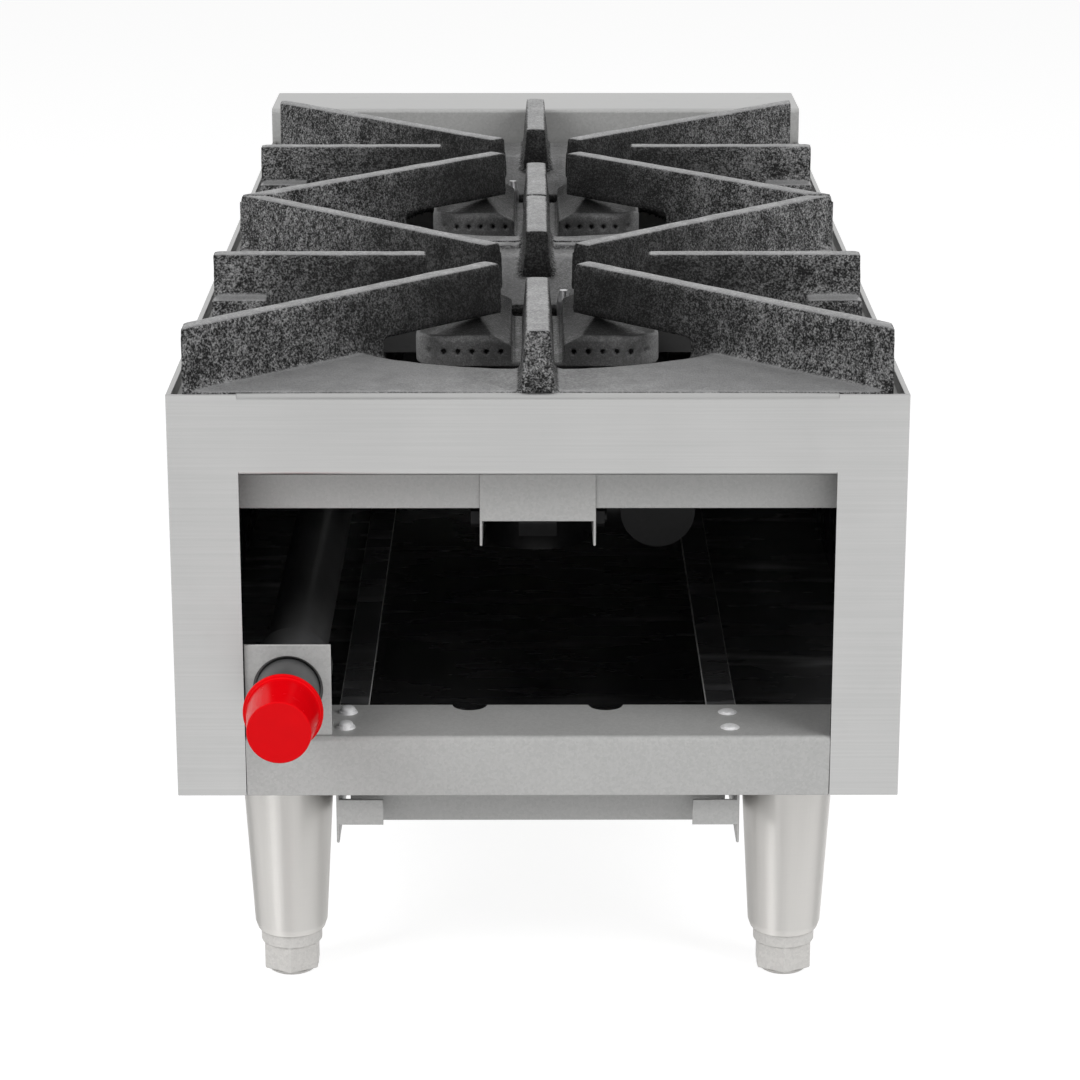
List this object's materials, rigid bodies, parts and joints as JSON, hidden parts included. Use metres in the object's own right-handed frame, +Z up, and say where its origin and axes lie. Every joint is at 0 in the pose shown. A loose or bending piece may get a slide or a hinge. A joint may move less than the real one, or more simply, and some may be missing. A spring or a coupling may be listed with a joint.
{
  "type": "countertop gas hotplate",
  "caption": "Countertop gas hotplate with burners one behind the other under cast iron grates, in a folded stainless body on adjustable legs.",
  "frame": {"origin": "on the surface under the feet, midway along the whole width and depth", "axes": "+Z up, -Y the front with the knobs, +Y the rear with the gas inlet, +X the inlet's side"},
  "size_m": [0.3048, 0.744, 0.3024],
  "materials": {
    "stainless": "satin brushed stainless sheet",
    "galvanised": "galvanised sheet",
    "cast_iron": "rough cast iron",
    "burner_iron": "cast iron",
    "black_pipe": "black iron pipe",
    "red_plastic": "glossy red plastic",
    "knob_plastic": "black phenolic",
    "brass": "machined brass",
    "aluminium": "drawn aluminium tube",
    "leg_metal": "satin nickel plate",
    "zinc": "zinc plated"
  },
  "bodies": {
    "chassis": {"left_side_panel": "stainless", "right_side_panel": "stainless", "rear_top_rail": "stainless", "rear_inner_rail": "stainless", "middle_rail": "stainless", "front_ledge": "stainless", "control_panel": "stainless", "rear_bottom_rail": "galvanised", "front_bottom_rail": "galvanised", "left_tray_rail": "galvanised", "right_tray_rail": "galvanised", "left_grate_rest": "galvanised", "right_grate_rest": "galvanised", "inlet_plate": "galvanised", "rear_burner_bracket": "galvanised", "front_burner_bracket": "galvanised", "pilot_brackets": "galvanised", "manifold_saddles": "galvanised", "front_burner_head": "burner_iron", "rear_burner_head": "burner_iron", "front_burner_base": "burner_iron", "rear_burner_base": "burner_iron", "inlet_nipple": "black_pipe", "inlet_coupling": "black_pipe", "gas_pipe": "black_pipe", "gas_elbow": "black_pipe", "manifold": "black_pipe", "manifold_plug": "black_pipe", "front_valve_body": "brass", "rear_valve_body": "brass", "orifices": "brass", "pilot_valves": "brass", "front_pilot_tube": "aluminium", "rear_pilot_tube": "aluminium", "dial_plates": "aluminium", "leg_rear_left": "leg_metal", "leg_rear_right": "leg_metal", "leg_front_left": "leg_metal", "leg_front_right": "leg_metal", "rail_screws": "zinc", "panel_screws": "zinc", "leg_nuts": "zinc", "burner_bolts": "zinc", "front_pilot_tip": "zinc", "rear_pilot_tip": "zinc"},
    "front_knob": {"front_knob": "knob_plastic", "front_valve_stem": "zinc"},
    "rear_knob": {"rear_knob": "knob_plastic", "rear_valve_stem": "zinc"},
    "drip_tray": {"drip_tray": "stainless"},
    "front_grate": {"front_grate": "cast_iron"},
    "rear_grate": {"rear_grate": "cast_iron"},
    "inlet_cap": {"inlet_cap": "red_plastic"},
    "front_air_shutter": {"front_air_shutter": "galvanised"},
    "rear_air_shutter": {"rear_air_shutter": "galvanised"},
    "foot_rear_left": {"foot_rear_left": "leg_metal"},
    "foot_rear_right": {"foot_rear_right": "leg_metal"},
    "foot_front_left": {"foot_front_left": "leg_metal"},
    "foot_front_right": {"foot_front_right": "leg_metal"}
  },
  "joints": [
    {"name": "front_knob_turn", "type": "hinge", "parent": "chassis", "child": "front_knob", "pos_m": [0.055, -0.35, 0.1866], "axis": [0, -1, 0], "range_deg": [0, 90]},
    {"name": "rear_knob_turn", "type": "hinge", "parent": "chassis", "child": "rear_knob", "pos_m": [-0.055, -0.35, 0.1866], "axis": [0, -1, 0], "range_deg": [0, 90]},
    {"name": "front_shutter_turn", "type": "hinge", "parent": "chassis", "child": "front_air_shutter", "pos_m": [0.055, -0.265, 0.1866], "axis": [0, -1, 0], "range_deg": [0, 30]},
    {"name": "rear_shutter_turn", "type": "hinge", "parent": "chassis", "child": "rear_air_shutter", "pos_m": [-0.055, -0.265, 0.1866], "axis": [0, -1, 0], "range_deg": [0, 30]},
    {"name": "drip_tray_slide", "type": "slide", "parent": "chassis", "child": "drip_tray", "axis": [0, -1, 0], "range_m": [0, 0.55]},
    {"name": "front_grate_lift", "type": "slide", "parent": "chassis", "child": "front_grate", "axis": [0, 0, 1], "range_m": [0, 0.15]},
    {"name": "rear_grate_lift", "type": "slide", "parent": "chassis", "child": "rear_grate", "axis": [0, 0, 1], "range_m": [0, 0.15]},
    {"name": "inlet_cap_pull", "type": "slide", "parent": "chassis", "child": "inlet_cap", "axis": [0, 1, 0], "range_m": [0, 0.12]},
    {"name": "foot_rear_left_screw", "type": "slide", "parent": "chassis", "child": "foot_rear_left", "axis": [0, 0, -1], "range_m": [0, 0.02]},
    {"name": "foot_rear_right_screw", "type": "slide", "parent": "chassis", "child": "foot_rear_right", "axis": [0, 0, -1], "range_m": [0, 0.02]},
    {"name": "foot_front_left_screw", "type": "slide", "parent": "chassis", "child": "foot_front_left", "axis": [0, 0, -1], "range_m": [0, 0.02]},
    {"name": "foot_front_right_screw", "type": "slide", "parent": "chassis", "child": "foot_front_right", "axis": [0, 0, -1], "range_m": [0, 0.02]}
  ]
}
